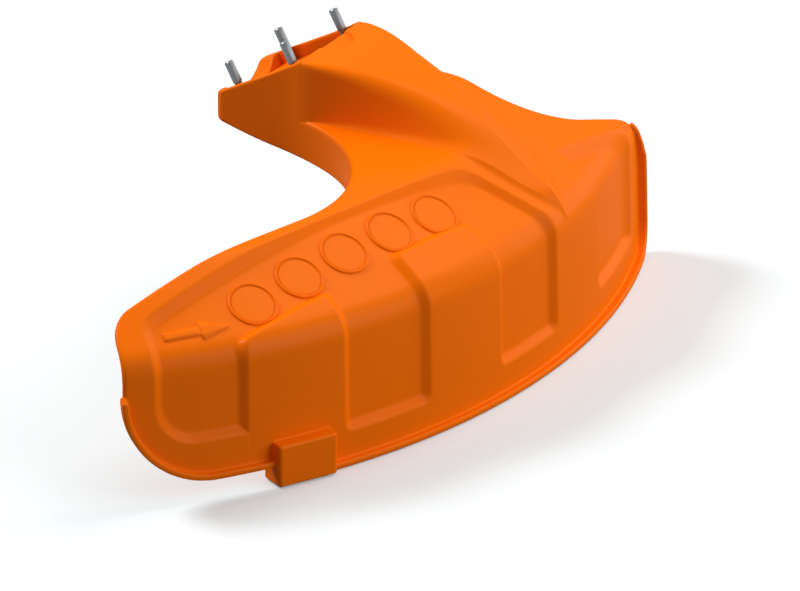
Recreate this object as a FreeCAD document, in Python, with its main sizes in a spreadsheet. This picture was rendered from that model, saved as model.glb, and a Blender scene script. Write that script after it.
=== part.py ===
import FreeCAD, Part
import math
import os

# Trimmer blade guard: a moulded skirt on a tilted seat, with four screws through the seat.
# Millimetres. The origin is the middle of the screw pattern on the seat's upper face.
# +X runs across the tool, +Y towards the user's shaft, -Y towards the guard's wall, +Z up.

doc = FreeCAD.newDocument("trimmer_blade_guard")
sizes = doc.addObject("Spreadsheet::Sheet", "sizes")

DIMENSIONS = [
    # The skirt is turned about an upright axis and cut off at two ends.
    ("wall_radius", 372.0, "outside radius of the skirt's wall at the rim"),
    ("axis_x", -33.0, "skirt axis, sideways from the seat"),
    ("axis_y", 203.0, "skirt axis, behind the seat"),
    ("rim_drop", 122.0, "rim below the seat's middle"),
    ("wall_rise", 80.0, "height from the rim to where the wall and the slope would meet"),
    ("wall_draft", 1.0, "lean of the wall in degrees"),
    ("top_slope", 30.0, "slope of the skirt's top in degrees"),
    ("bend_radius", 15.0, "outside radius between wall and slope"),
    ("crown_height", 5.0, "highest point of the slope above the seat's middle"),
    ("near_angle", 42.7, "end of the long wing, degrees from straight ahead"),
    ("far_angle", 26.0, "end of the short wing, degrees from straight ahead"),
    ("far_top_foot", 58.0, "height of the upright edge at the short wing's end"),
    ("far_top_run", 19.0, "length of the sloping edge above it, along the wall"),
    ("far_top_rise", 26.0, "rise of that sloping edge"),
    ("far_top_corner", 20.0, "corner radius between the two edges"),
    ("skin", 3.0, "moulded wall thickness"),
    ("near_lift", 10.5, "rim of the long wing above the rest of the rim"),
    ("near_corner", 52.0, "corner radius at the end of the long wing"),
    ("far_corner", 19.0, "corner radius at the end of the short wing"),
    ("lip_width", 4.0, "how far the rim's lip stands out"),
    ("lip_thickness", 3.5, "thickness of the rim's lip"),
    ("lip_end_rise", 62.0, "height of the lip at the ends above the rim"),
    # The plan view of the top and the neck.
    ("tip_radius", 20.0, "plan corner radius at the end of the long wing"),
    ("shoulder_drop", 11.5, "flat shoulder beside the neck, below the seat's middle"),
    ("neck_half_width", 30.5, "half the width of the collar"),
    ("spine_length", 166.5, "reach of the neck's spine to the bend"),
    ("spine_ridge_end", -42.5, "height of the neck's ridge where it ends at the bend"),
    ("spine_foot_end", -44.0, "height of its foot there"),
    ("spine_foot_x", 2.0, "half the width of its foot there"),
    ("tip_inset", 28.6, "back corner of the long wing behind the wall"),
    ("tip_turn", 0.3, "back corner of the long wing short of the wing's end, in degrees"),
    ("wing_meets_y", -115.0, "where the long wing's back edge would meet the collar's side"),
    ("wing_fillet", 83.0, "plan radius between the long wing and the collar"),
    ("far_meets_y", -114.5, "where the short wing's back edge would meet the collar's side"),
    ("far_fillet", 64.0, "plan radius between the short wing and the collar"),
    ("far_tip_x", 116.0, "where the short wing's back edge meets the wall, sideways"),
    ("far_tip_y", -134.5, "and along the tool"),
    # Stations of the neck between the peak and the bend.
    ("station_1_y", -43.0, "first station of the neck, along the tool"),
    ("station_1_ridge", 20.2, "height of its ridge"),
    ("station_1_foot", 27.5, "half the width of its foot on the shoulder"),
    ("station_2_y", -75.0, "second station"),
    ("station_2_ridge", 13.5, "height of its ridge"),
    ("station_2_foot", 24.5, "half the width of its foot on the shoulder"),
    ("station_3_y", -107.0, "third station"),
    ("station_3_ridge", 1.4, "height of its ridge"),
    ("station_3_foot", 23.0, "half the width of its foot on the shoulder"),
    ("station_4_y", -130.0, "fourth station"),
    ("station_4_ridge", -13.0, "height of its ridge"),
    ("station_4_foot", 17.0, "half the width of its foot"),
    ("station_4_low", -18.0, "height of its foot"),
    ("station_5_y", -150.0, "fifth station"),
    ("station_5_ridge", -26.5, "height of its ridge"),
    ("station_5_foot", 9.0, "half the width of its foot"),
    ("station_5_low", -30.0, "height of its foot"),
    ("station_6_y", -161.0, "sixth station"),
    ("station_6_ridge", -34.0, "height of its ridge"),
    ("station_6_foot", 3.7, "half the width of its foot"),
    ("station_6_low", -37.5, "height of its foot"),
    # The collar and its seat.
    ("seat_tilt", 29.4, "tilt of the seat in degrees"),
    ("collar_front", 29.0, "collar's open end from the pattern's middle, on the long wing's side"),
    ("collar_far_front", 40.0, "collar's open end on the short wing's side"),
    ("collar_back", 25.0, "collar's peak from the pattern's middle, along the seat"),
    ("rim_height", 7.0, "collar rim above the seat"),
    ("seat_plate", 4.0, "thickness of the seat plate"),
    ("saddle_radius", 33.0, "radius of the hollow for the shaft tube in the collar's end"),
    ("saddle_depth", 9.5, "depth of that hollow below the collar's rim"),
    ("window_width", 11.0, "width of each opening in the seat plate"),
    ("window_length", 22.0, "length of each opening in the seat plate"),
    ("relief_radius", 6.5, "round relief at the two screws by the peak"),
    ("edge_drop", 24.5, "lower edge of the collar's end below the seat's middle"),
    ("edge_slope", 13.8, "slope of the lower edge towards the wall in degrees"),
    ("edge_lowest", 35.0, "level part of the lower edge below the seat's middle"),
    ("rib", 2.5, "thickness of the ribs under the neck"),
    ("rib_depth", 16.0, "depth of the ribs below the shoulder"),
    ("rib_reach", 120.0, "length of the rib along the neck"),
    ("first_rib_y", -50.0, "first rib across the neck"),
    ("second_rib_y", -85.0, "second rib across the neck"),
    ("rib_half_width", 24.0, "half the length of the ribs across the neck"),
    ("mouth_y", -75.0, "end of the open underside towards the wall"),
    # The recess that goes over the top and the wall, and the raised pads in it.
    ("recess_depth", 3.5, "depth of the recess"),
    ("recess_foot", 18.0, "lower edge of the recess above the rim"),
    ("recess_end_foot", 31.5, "lower edge of the recess in the long wing above the rim"),
    ("recess_near", 39.8, "end of the recess in the long wing in degrees"),
    ("recess_far", -3.1, "end of the recess by the spine in degrees"),
    ("recess_near_back", 347.0, "radius of the recess's back corner in the long wing"),
    ("recess_far_back", 324.0, "radius of its back corner by the spine"),
    ("recess_far_turn", -0.4, "heading of that corner in degrees"),
    ("recess_far_top", 366.0, "radius at which the recess's end by the spine leaves the slope"),
    ("recess_corner", 24.0, "corner radius of the recess at the end of the long wing"),
    ("first_pad_start", 31.8, "pad nearest the end of the long wing, first edge in degrees"),
    ("first_pad_end", 22.8, "and its other edge"),
    ("first_pad_near_top", 366.0, "radius at which the first pad's near edge ends on the slope"),
    ("first_pad_far_top", 354.0, "and its far edge"),
    ("second_pad_start", 14.5, "second pad, first edge in degrees"),
    ("second_pad_end", 5.3, "and its other edge"),
    ("second_pad_top", 348.0, "radius at which the second pad ends on the slope"),
    ("side_recess_start", -11.2, "recess of the short wing, first edge in degrees"),
    ("side_recess_end", -21.4, "and its other edge"),
    ("side_recess_back", 347.0, "radius of its back corner by the spine"),
    ("side_recess_tip", 367.5, "radius of its corner in the short wing"),
    # The clip lug on the rim.
    ("lug_angle", 27.1, "middle of the clip lug in degrees"),
    ("lug_length", 35.0, "length of the clip lug along the wall"),
    ("lug_height", 22.7, "height of the clip lug"),
    ("lug_reach", 7.5, "how far the clip lug stands out of the wall"),
    ("lug_foot", 0.8, "foot of the clip lug above the rim"),
    # The screws.
    ("screw_across", 49.0, "screw spacing across the tool"),
    ("screw_along", 38.8, "screw spacing along the seat"),
    ("screw_diameter", 5.0, "M5 thread, outside"),
    ("screw_waist", 4.0, "waist between thread and head, which keeps the screw in its hole"),
    ("thread_start", 7.6, "start of the thread above the seat"),
    ("screw_clearance", 0.25, "gap round the shank in its hole"),
    ("screw_standing", 19.5, "screw above the seat"),
    ("boss_radius", 6.5, "screw boss under the seat plate"),
    ("boss_depth", 5.0, "screw boss below the seat plate"),
    ("head_diameter", 8.5, "cylinder head"),
    ("head_height", 5.0, "height of the head"),
    ("socket_width", 4.0, "hexagon socket across flats"),
    ("socket_depth", 2.5, "depth of the socket"),
    ("tip_chamfer", 0.6, "chamfer at the screw's tip"),
]
for row, (alias, value, meaning) in enumerate(DIMENSIONS, start=1):
    sizes.set("A%d" % row, meaning)
    sizes.set("B%d" % row, str(value))
    sizes.setAlias("B%d" % row, alias)
doc.recompute()


def size(alias):
    return float(sizes.get(alias))


def vector(x, y, z=0.0):
    return FreeCAD.Vector(x, y, z)


UP = vector(0, 0, 1)
axis = vector(size("axis_x"), size("axis_y"))
rim_z = -size("rim_drop")
skin = size("skin")
tilt = math.radians(size("seat_tilt"))
seat_normal = vector(0, math.sin(tilt), math.cos(tilt))
seat_forward = vector(0, -math.cos(tilt), math.sin(tilt))
REACH = 60.0         # how far a cutting block runs past what it cuts
BEYOND = 500.0       # length of a block that runs across the whole part
RIDGE_LEAST = 0.8    # half the width of the neck's ridge at its end
SPARE = 0.6          # what stays of the wall behind its inner face where the underside is cut open
PEAK_CROWN = 0.6     # rise of the neck over the collar's rim at the peak
mass_low = rim_z + 50.0   # foot of the collar's and the neck's blocks, well below the lower edge
collar_front_y = size("collar_front") * math.cos(tilt) + size("rim_height") * math.sin(tilt)
collar_far_y = size("collar_far_front") * math.cos(tilt) + size("rim_height") * math.sin(tilt)
peak_y = -size("collar_back") * math.cos(tilt) + size("rim_height") * math.sin(tilt)
peak_z = size("collar_back") * math.sin(tilt) + size("rim_height") * math.cos(tilt)


def heading(degrees):
    """Direction from the skirt's axis: 0 is straight ahead, positive towards the long wing."""
    angle = math.radians(degrees)
    return vector(-math.sin(angle), -math.cos(angle))


def on_plan(degrees, radius):
    return axis + heading(degrees) * radius


def on_seat(across, forward, above=0.0):
    return vector(across, 0, 0) + seat_forward * forward + seat_normal * above


def rounded_wire(corners):
    """Closed outline through (point, radius) corners, each rounded by an arc of that radius."""
    edges = []
    ends = []
    count = len(corners)
    for i, (point, radius) in enumerate(corners):
        before = (corners[i - 1][0] - point).normalize()
        after = (corners[(i + 1) % count][0] - point).normalize()
        if radius <= 0:
            ends.append((point, point))
            continue
        half = before.getAngle(after) / 2
        run = radius / math.tan(half)
        middle = (before + after).normalize()
        arc_middle = point + middle * (radius / math.sin(half) - radius)
        start, stop = point + before * run, point + after * run
        edges.append(Part.Arc(start, arc_middle, stop).toShape())
        ends.append((start, stop))
    for i in range(count):
        start, stop = ends[i][1], ends[(i + 1) % count][0]
        if start.distanceToPoint(stop) > 1e-6:
            edges.append(Part.makeLine(start, stop))
    return Part.Wire(Part.__sortEdges__(edges))


def upright(wire, low, high):
    """Prism of a level outline between two heights."""
    face = Part.Face(wire)
    face.translate(vector(0, 0, low))
    return face.extrude(vector(0, 0, high - low))


def skirt_section(inset, top):
    """Corners of the skirt's half section, as (radius, height), moved in by inset."""
    lean = math.tan(math.radians(size("wall_draft")))
    slope = math.radians(size("top_slope"))
    foot_r = size("wall_radius") - inset / math.cos(math.atan(lean))
    meet_r = size("wall_radius") - size("wall_rise") * lean
    # the slope's line is z = line_z - radius * tan(slope)
    line_z = rim_z + size("wall_rise") + meet_r * math.tan(slope) - inset / math.cos(slope)
    corner_r = (line_z - rim_z - foot_r / lean) / (math.tan(slope) - 1 / lean) if lean else foot_r
    corner_z = line_z - corner_r * math.tan(slope)
    crown_r = (line_z - top) / math.tan(slope)
    return (foot_r, rim_z), (corner_r, corner_z), (crown_r, top)


def skirt_mass(inset, start, stop, inner_radius=200.0):
    """The skirt's solid below its surface, between two headings, moved in by inset."""
    top = size("crown_height") - inset
    foot, corner, crown = skirt_section(inset, top)
    low = rim_z - (REACH if inset else 0.0)
    lean = math.tan(math.radians(size("wall_draft")))
    along = heading(start)

    def place(radius, height):
        return axis + along * radius + UP * height
    corners = [
        (place(inner_radius, low), 0),
        (place(foot[0] + (rim_z - low) * lean, low), 0),
        (place(*corner), size("bend_radius") - inset),
        (place(*crown), 0),
        (place(inner_radius, top), 0),
    ]
    return Part.Face(rounded_wire(corners)).revolve(axis, UP, start - stop)


def plan_outline(inset=0.0):
    """The guard's outline seen from above, beyond the wall at the front."""
    beyond = size("wall_radius") + REACH
    half = size("neck_half_width")
    tip = on_plan(size("near_angle") - size("tip_turn"), size("wall_radius") - size("tip_inset"))
    wire = rounded_wire([
        (on_plan(size("near_angle"), beyond), 0),
        (tip, size("tip_radius")),
        (vector(-half, size("wing_meets_y")), size("wing_fillet")),
        (vector(-half, collar_front_y), 0),
        (vector(half, collar_far_y), 0),
        (vector(half, size("far_meets_y")), size("far_fillet")),
        (vector(size("far_tip_x"), size("far_tip_y")), 0),
        (on_plan(-size("far_angle"), size("wall_radius") - skin - 1.0), 0),
        (on_plan(-size("far_angle"), beyond), 0),
        (on_plan(0, beyond + REACH), 0),
    ])
    return wire.makeOffset2D(-inset, 2) if inset else wire


def recess_block(spread, feet):
    """Upright block over the recess of the long wing, grown by spread, between its pads."""
    beyond = size("wall_radius") + REACH
    main = rounded_wire([
        (on_plan(size("recess_near"), beyond), 0),
        (on_plan(size("recess_near"), size("recess_near_back")), 8.0),
        (on_plan(size("recess_far_turn"), size("recess_far_back")), 12.0),
        (on_plan(size("recess_far"), size("recess_far_top")), 4.0),
        (on_plan(size("recess_far"), beyond), 0),
        (on_plan(18.0, beyond + REACH), 0),
    ])
    if spread:
        main = main.makeOffset2D(spread, 2)
    block = upright(main, rim_z + feet[1] - spread, REACH)
    pads = [
        [(size("first_pad_start"), size("first_pad_near_top")),
         (size("first_pad_end"), size("first_pad_far_top"))],
        [(size("second_pad_start"), size("second_pad_top")),
         (size("second_pad_end"), size("second_pad_top"))],
    ]
    for (start, start_top), (end, end_top) in pads:
        pad = rounded_wire([
            (on_plan(start, beyond + 2 * REACH), 0),
            (on_plan(start, start_top), 4.0),
            (on_plan(end, end_top), 6.0),
            (on_plan(end, beyond + 2 * REACH), 0),
        ])
        if spread:
            pad = pad.makeOffset2D(-spread, 2)
        block = block.cut(upright(pad, rim_z - 2 * REACH, 2 * REACH))
    return block.cut(end_foot(spread, feet[0]))


def wall_frame(degrees):
    """Directions on the wall: along it towards the middle, and square to it, outwards."""
    outwards = heading(degrees)
    return vector(math.cos(math.radians(degrees)), -math.sin(math.radians(degrees))), outwards


def on_wall(start, along, run, height):
    return start + along * run + UP * (rim_z + height)


def through_wall(wire, outwards, inside, outside):
    """Prism of an outline drawn on the wall, from inside it to outside."""
    face = Part.Face(wire)
    face.translate(outwards * -inside)
    return face.extrude(outwards * (inside + outside))


def end_foot(spread, foot):
    """What the recess leaves below its rounded foot in the long wing."""
    edge = size("recess_near")
    along, outwards = wall_frame(edge)
    start = on_plan(edge, size("wall_radius"))
    radius = size("recess_corner") + spread
    pad = on_plan(size("first_pad_start"), size("wall_radius"))
    length = (pad - start).Length
    low = foot - spread
    corner = [
        (on_wall(start, along, -REACH - spread, low - REACH), 0),
        (on_wall(start, along, length, low - REACH), 0),
        (on_wall(start, along, length, low), 0),
        (on_wall(start, along, -spread, low), radius),
        (on_wall(start, along, -spread, low + radius + 1.0), 0),
        (on_wall(start, along, -REACH - spread, low + radius + 1.0), 0),
    ]
    return through_wall(rounded_wire(corner), outwards, 30.0, REACH)


def side_recess_block(spread, foot):
    """Upright block over the recess of the short wing, grown by spread."""
    beyond = size("wall_radius") + REACH
    start, end = size("side_recess_start"), size("side_recess_end")
    plan = rounded_wire([
        (on_plan(start, beyond), 0),
        (on_plan(start, size("side_recess_back")), 4.0),
        (on_plan(end, size("side_recess_tip")), 4.0),
        (on_plan(end, beyond), 0),
    ])
    if spread:
        plan = plan.makeOffset2D(spread, 2)
    return upright(plan, rim_z + foot - spread, REACH)


def neck_stations():
    """Half sections of the neck from the peak to the bend: y, ridge (x, z), foot (x, z)."""
    half = size("neck_half_width")
    end = -size("spine_length")
    shoulder = -size("shoulder_drop")
    rises = [(peak_y, peak_z + PEAK_CROWN, half, shoulder)]
    for name in ("station_1", "station_2", "station_3"):
        rises.append((size(name + "_y"), size(name + "_ridge"), size(name + "_foot"), shoulder))
    for name in ("station_4", "station_5", "station_6"):
        rises.append((size(name + "_y"), size(name + "_ridge"), size(name + "_foot"), size(name + "_low")))
    rises.append((end, size("spine_ridge_end"), size("spine_foot_x"), size("spine_foot_end")))
    stations = []
    for y, ridge_z, foot_x, foot_z in rises:
        ridge_x = max(half * (y - end) / (peak_y - end), RIDGE_LEAST)
        stations.append((y, ridge_x, ridge_z, foot_x, foot_z))
    return stations


def neck_mass(inset):
    """The neck's solid below its top, moved in by inset, down to the lower edge."""
    wires = []
    for y, ridge_x, ridge_z, foot_x, foot_z in neck_stations():
        if inset and ridge_x < inset + 2 * RIDGE_LEAST:
            continue
        if inset and not wires:
            y = y - inset
        points = [(inset - foot_x, mass_low), (inset - foot_x, foot_z), (inset - ridge_x, ridge_z - inset),
                  (ridge_x - inset, ridge_z - inset), (foot_x - inset, foot_z), (foot_x - inset, mass_low)]
        wires.append(Part.makePolygon([vector(x, y, z) for x, z in points + points[:1]]))
    return Part.makeLoft(wires, True, False)


def side_prism(points, half):
    """Prism of a side view outline of (y, z) points, half as wide on each side of the middle."""
    wire = Part.makePolygon([vector(-half, y, z) for y, z in points + points[:1]])
    return Part.Face(wire).extrude(vector(2 * half, 0, 0))


def seat_point(forward, above):
    point = on_seat(0, forward, above)
    return point.y, point.z


def seat_height(y, above):
    return -math.tan(tilt) * y + above / math.cos(tilt)


def collar_mass(half, front, back, above):
    """Block between the collar's two ends, with a top parallel to the seat."""
    return side_prism([(front, mass_low), (front, seat_height(front, above)),
                       (back, seat_height(back, above)), (back, mass_low)], half)


def end_wedge(inset):
    """What the oblique open end of the collar leaves free, moved in by inset."""
    half = size("neck_half_width")
    near_y, far_y = collar_front_y - inset, collar_far_y - inset
    step = (far_y - near_y) * REACH / (2 * half)
    corners = [vector(-half - REACH, near_y - step), vector(half + REACH, far_y + step),
               vector(half + REACH, far_y + 2 * REACH), vector(-half - REACH, far_y + 2 * REACH)]
    wire = Part.makePolygon(corners + corners[:1])
    return upright(wire, rim_z - REACH, 4 * REACH)


def screw_places():
    across, along = size("screw_across") / 2, size("screw_along") / 2
    return [(x, f) for x in (-across, across) for f in (-along, along)]


def seat_cylinder(across, forward, radius, low, high):
    return Part.makeCylinder(radius, high - low, on_seat(across, forward, low), seat_normal)


def lip_layer(start, stop):
    """Ring over the wall, as thick as the lip is wide, up to the ends of the lip."""
    lean = math.tan(math.radians(size("wall_draft")))
    rise = size("lip_end_rise")
    radius = size("wall_radius")
    along = heading(start)

    def place(r, z):
        return axis + along * r + UP * (rim_z + z)
    wire = Part.makePolygon([place(radius - 1.0, 0), place(radius + size("lip_width"), 0),
                             place(radius + size("lip_width") - rise * lean, rise),
                             place(radius - 1.0 - rise * lean, rise), place(radius - 1.0, 0)])
    return Part.Face(wire).revolve(axis, UP, start - stop)


def wall_end(end, corner, lift, length, inwards, inset):
    """Outline on the wall of what stays at one end: upright edge, rounded corner, rim."""
    along, outwards = wall_frame(end)
    along = along * inwards
    start = on_plan(end, size("wall_radius"))
    high = size("wall_rise") + REACH
    return rounded_wire([
        (on_wall(start, along, inset, high), 0),
        (on_wall(start, along, inset, lift + inset), corner - inset),
        (on_wall(start, along, length, lift + inset), 0),
        (on_wall(start, along, length, high), 0),
    ]), outwards


def end_cutter(end, corner, lift, length, inwards):
    """What is cut off below the rim and outside the rounded corner at one end."""
    along, outwards = wall_frame(end)
    along = along * inwards
    start = on_plan(end, size("wall_radius"))
    low = -REACH
    return through_wall(rounded_wire([
        (on_wall(start, along, -REACH, low), 0),
        (on_wall(start, along, length, low), 0),
        (on_wall(start, along, length, lift), 0),
        (on_wall(start, along, 0, lift), corner),
        (on_wall(start, along, 0, lift + corner + 0.5), 0),
        (on_wall(start, along, -REACH, lift + corner + 0.5), 0),
    ]), outwards, 12.0, REACH)


def top_cutter(end):
    """What is cut off above the sloping edge at the top of the short wing's end."""
    along, outwards = wall_frame(end)
    start = on_plan(end, size("wall_radius"))
    foot, run, rise = size("far_top_foot"), size("far_top_run"), size("far_top_rise")
    return through_wall(rounded_wire([
        (on_wall(start, -along, -REACH, foot - rise), 0),
        (on_wall(start, -along, 0, foot - rise), 0),
        (on_wall(start, -along, 0, foot), size("far_top_corner")),
        (on_wall(start, -along, run, foot + rise), 0),
        (on_wall(start, -along, run, foot + rise + REACH), 0),
        (on_wall(start, -along, -REACH, foot + rise + REACH), 0),
    ]), outwards, REACH / 2, REACH)


def lip(end, corner, lift, length, inwards, start, stop):
    """The lip along one end and its stretch of the rim."""
    outer, outwards = wall_end(end, corner, lift, length, inwards, 0.0)
    inner, outwards = wall_end(end, corner, lift, length + REACH, inwards, size("lip_thickness"))
    band = through_wall(outer, outwards, BEYOND, REACH)
    band = band.cut(through_wall(inner, outwards, BEYOND + REACH, 2 * REACH))
    return lip_layer(start, stop).common(band)


def lug():
    """Clip lug on the rim: a box open below, as thick as the skin."""
    middle = size("lug_angle")
    along, outwards = wall_frame(middle)
    centre = on_plan(middle, size("wall_radius"))
    half = size("lug_length") / 2
    base, top = rim_z + size("lug_foot"), rim_z + size("lug_foot") + size("lug_height")
    turn = FreeCAD.Rotation(vector(1, 0, 0), outwards)

    def box(inset, low, high):
        block = Part.makeBox(size("lug_reach") + 8.0 - inset, 2 * (half - inset), high - low,
                             vector(-8.0, -(half - inset), low))
        block.Placement = FreeCAD.Placement(centre, turn) * block.Placement
        return block
    block = box(0.0, base, top)
    corners = [e for e in block.Edges if abs(e.tangentAt(e.FirstParameter).z) > 0.9
               and (e.CenterOfMass - centre).dot(outwards) > 0]
    return block.makeFillet(2.0, corners), box(2.2, base - REACH, top - 2.2)


def guard_shape():
    near, far = size("near_angle"), -size("far_angle")
    plan = plan_outline()
    plan_in = plan_outline(skin)
    depth = size("recess_depth")
    feet = (size("recess_end_foot"), size("recess_foot"))
    shoulder_low = -size("shoulder_drop")
    half = size("neck_half_width")

    # the flat shoulder cuts the slope on the long wing's side of the neck
    def shoulder(drop):
        return Part.makeBox(BEYOND, BEYOND, 2 * REACH, vector(-BEYOND, -BEYOND / 2, shoulder_low - drop))

    outer = skirt_mass(0.0, near, far).common(upright(plan, rim_z, 2 * REACH)).cut(shoulder(0.0))
    outer = outer.cut(recess_block(0.0, feet).cut(skirt_mass(depth, near, far)))
    outer = outer.cut(side_recess_block(0.0, feet[1]).cut(skirt_mass(depth, near, far)))
    far_y, rim = collar_far_y + REACH, size("rim_height")
    outer = outer.cut(side_prism([(peak_y, seat_height(peak_y, rim)), (far_y, seat_height(far_y, rim)),
                                  (far_y, REACH), (peak_y, REACH)], BEYOND))
    inner = skirt_mass(skin, near, far).common(upright(plan_in, rim_z - REACH, 2 * REACH))
    inner = inner.cut(shoulder(skin))
    inner = inner.cut(recess_block(skin, feet).cut(skirt_mass(skin + depth, near, far)))
    inner = inner.cut(side_recess_block(skin, feet[1]).cut(skirt_mass(skin + depth, near, far)))

    collar = collar_mass(half, collar_far_y, peak_y - 1.0, size("rim_height")).cut(end_wedge(0.0))
    collar_hollow = collar_mass(half - skin, collar_far_y, peak_y - skin - 1.0, -size("seat_plate"))
    collar_hollow = collar_hollow.cut(end_wedge(skin))
    mass = outer.fuse([neck_mass(0.0), collar])
    hollow = inner.fuse([neck_mass(skin), collar_hollow])
    shell = mass.cut(hollow)

    # everything inside the wall and the top ends at the lower edge, sloping and then level
    edge_z, lowest_z = -size("edge_drop"), -size("edge_lowest")
    slope = math.tan(math.radians(size("edge_slope")))
    level_y = collar_front_y - (edge_z - lowest_z) / slope
    under = side_prism([(collar_front_y + REACH, edge_z + REACH * slope),
                        (collar_front_y + REACH, rim_z - REACH), (-BEYOND, rim_z - REACH),
                        (-BEYOND, lowest_z), (level_y, lowest_z)], BEYOND)
    within = skirt_mass(depth + skin + SPARE, near + 2.0, far - 2.0)
    by_collar = Part.makeBox(4 * half, REACH - size("mouth_y"), BEYOND,
                             vector(-2 * half, size("mouth_y"), -BEYOND))
    shell = shell.cut(under.common(within.fuse(by_collar)))

    # seat: pocket, screw bosses, holes and openings
    pocket_front, pocket_back = skin - size("collar_front"), size("collar_back") - skin
    shell = shell.cut(side_prism([seat_point(pocket_front, 0.0), seat_point(pocket_front, REACH),
                                  seat_point(pocket_back, REACH), seat_point(pocket_back, 0.0)],
                                 half - skin))
    plate = size("seat_plate")
    boss_low = -plate - size("boss_depth")
    bosses = [seat_cylinder(x, f, size("boss_radius"), boss_low, -0.5 * plate).common(collar)
              for x, f in screw_places()]
    shell = shell.fuse(bosses)
    for x, f in screw_places():
        hole = size("screw_diameter") / 2 + size("screw_clearance")
        shell = shell.cut(seat_cylinder(x, f, hole, -REACH, REACH))
        head = size("head_diameter") / 2 + size("screw_clearance")
        shell = shell.cut(seat_cylinder(x, f, head, -REACH, boss_low))
        if f > 0:
            shell = shell.cut(seat_cylinder(x, f, size("relief_radius"), 0.0, REACH).common(
                collar_mass(half - skin / 2, REACH, -REACH, REACH)))
    window = size("window_width"), size("window_length")
    for side in (-1, 1):
        edge = half - skin - window[0] / 2
        block = Part.makeBox(window[0], window[1], 2 * plate,
                             vector(-window[0] / 2, -window[1] / 2, -1.5 * plate))
        block.Placement = FreeCAD.Placement(vector(side * edge, 0, 0), FreeCAD.Rotation(UP, seat_normal))
        shell = shell.cut(block)
    saddle = Part.makeCylinder(size("saddle_radius"), REACH,
                               on_seat(0, pocket_front - REACH, size("rim_height")
                                       + size("saddle_radius") - size("saddle_depth")), seat_forward)
    shell = shell.cut(saddle)

    # ribs under the neck
    rib = size("rib")
    rib_low = shoulder_low - size("rib_depth")
    rib_end_y = peak_y - size("rib_reach")
    ribs = [Part.makeBox(rib, size("rib_reach"), REACH, vector(-rib / 2, rib_end_y, rib_low))]
    for y in (size("first_rib_y"), size("second_rib_y")):
        ribs.append(Part.makeBox(2 * size("rib_half_width"), rib, REACH,
                                 vector(-size("rib_half_width"), y, rib_low)))
    for block in ribs:
        shell = shell.fuse(block.common(neck_mass(0.5 * skin)))

    # rim: the ends are rounded and the lip stands out along them
    middle = size("lug_angle")
    near_run = size("wall_radius") * 2 * math.sin(math.radians(near - middle) / 2)
    shell = shell.cut(end_cutter(near, size("near_corner"), size("near_lift"), near_run, 1))
    shell = shell.cut(end_cutter(far, size("far_corner"), 0.0, 2 * size("far_corner"), -1))
    shell = shell.cut(top_cutter(far))
    lips = [lip(near, size("near_corner"), size("near_lift"), near_run + REACH, 1, near, middle),
            lip(far, size("far_corner"), 0.0, BEYOND, -1, middle, far)]
    lug_block, lug_hollow = lug()
    shell = shell.fuse(lips + [lug_block]).cut(lug_hollow)
    return shell


guard = doc.addObject("Part::Feature", "guard_shell")
guard.Label = "guard_shell"
guard.Shape = guard_shape().removeSplitter()
guard.Placement = FreeCAD.Placement()

# the four screws come up through the seat from below: shank, chamfered tip, head with a socket
screws = doc.addObject("Part::Compound", "mounting_screws")
screws.Label = "mounting_screws"
made = []
for number, (across, forward) in enumerate(screw_places(), start=1):
    turn = FreeCAD.Rotation(UP, seat_normal)
    under_boss = -(size("seat_plate") + size("boss_depth"))

    def place(item, above):
        item.Placement = FreeCAD.Placement(on_seat(across, forward, above), turn)

    waist = doc.addObject("Part::Cylinder", "waist_%d" % number)
    waist.setExpression("Radius", "sizes.screw_waist / 2")
    waist.setExpression("Height", "sizes.thread_start + sizes.seat_plate + sizes.boss_depth")
    place(waist, under_boss)
    thread = doc.addObject("Part::Cylinder", "thread_%d" % number)
    thread.setExpression("Radius", "sizes.screw_diameter / 2")
    thread.setExpression("Height", "sizes.screw_standing - sizes.thread_start - sizes.tip_chamfer")
    place(thread, size("thread_start"))
    tip = doc.addObject("Part::Cone", "tip_%d" % number)
    tip.setExpression("Radius1", "sizes.screw_diameter / 2")
    tip.setExpression("Radius2", "sizes.screw_diameter / 2 - sizes.tip_chamfer")
    tip.setExpression("Height", "sizes.tip_chamfer")
    place(tip, size("screw_standing") - size("tip_chamfer"))
    head = doc.addObject("Part::Cylinder", "head_%d" % number)
    head.setExpression("Radius", "sizes.head_diameter / 2")
    head.setExpression("Height", "sizes.head_height")
    place(head, under_boss - size("head_height"))
    socket = doc.addObject("Part::Prism", "socket_%d" % number)
    socket.Polygon = 6
    socket.setExpression("Circumradius", "sizes.socket_width / 3 ^ 0.5")
    socket.setExpression("Height", "2 * sizes.socket_depth")
    place(socket, under_boss - size("head_height") - size("socket_depth"))
    body = doc.addObject("Part::MultiFuse", "screw_body_%d" % number)
    body.Shapes = [waist, thread, tip, head]
    screw = doc.addObject("Part::Cut", "screw_%d" % number)
    screw.Base = body
    screw.Tool = socket
    made.append(screw)
screws.Links = made

doc.recompute()

for item in doc.Objects:
    if "Invalid" in item.State or "Error" in item.State:
        raise RuntimeError("failed: " + item.Name)
os.makedirs("parts", exist_ok=True)
for item in (guard, screws):
    if item.Shape.isNull() or not item.Shape.isValid():
        raise RuntimeError("bad shape: " + item.Label)
    item.Shape.exportStep("parts/" + item.Label + ".step")
    print(item.Label, len(item.Shape.Solids), "solids", round(item.Shape.Volume / 1000, 1), "cm3")
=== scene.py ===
import math

import bmesh
import bpy
import numpy as np
from mathutils import Matrix, Vector


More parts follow.
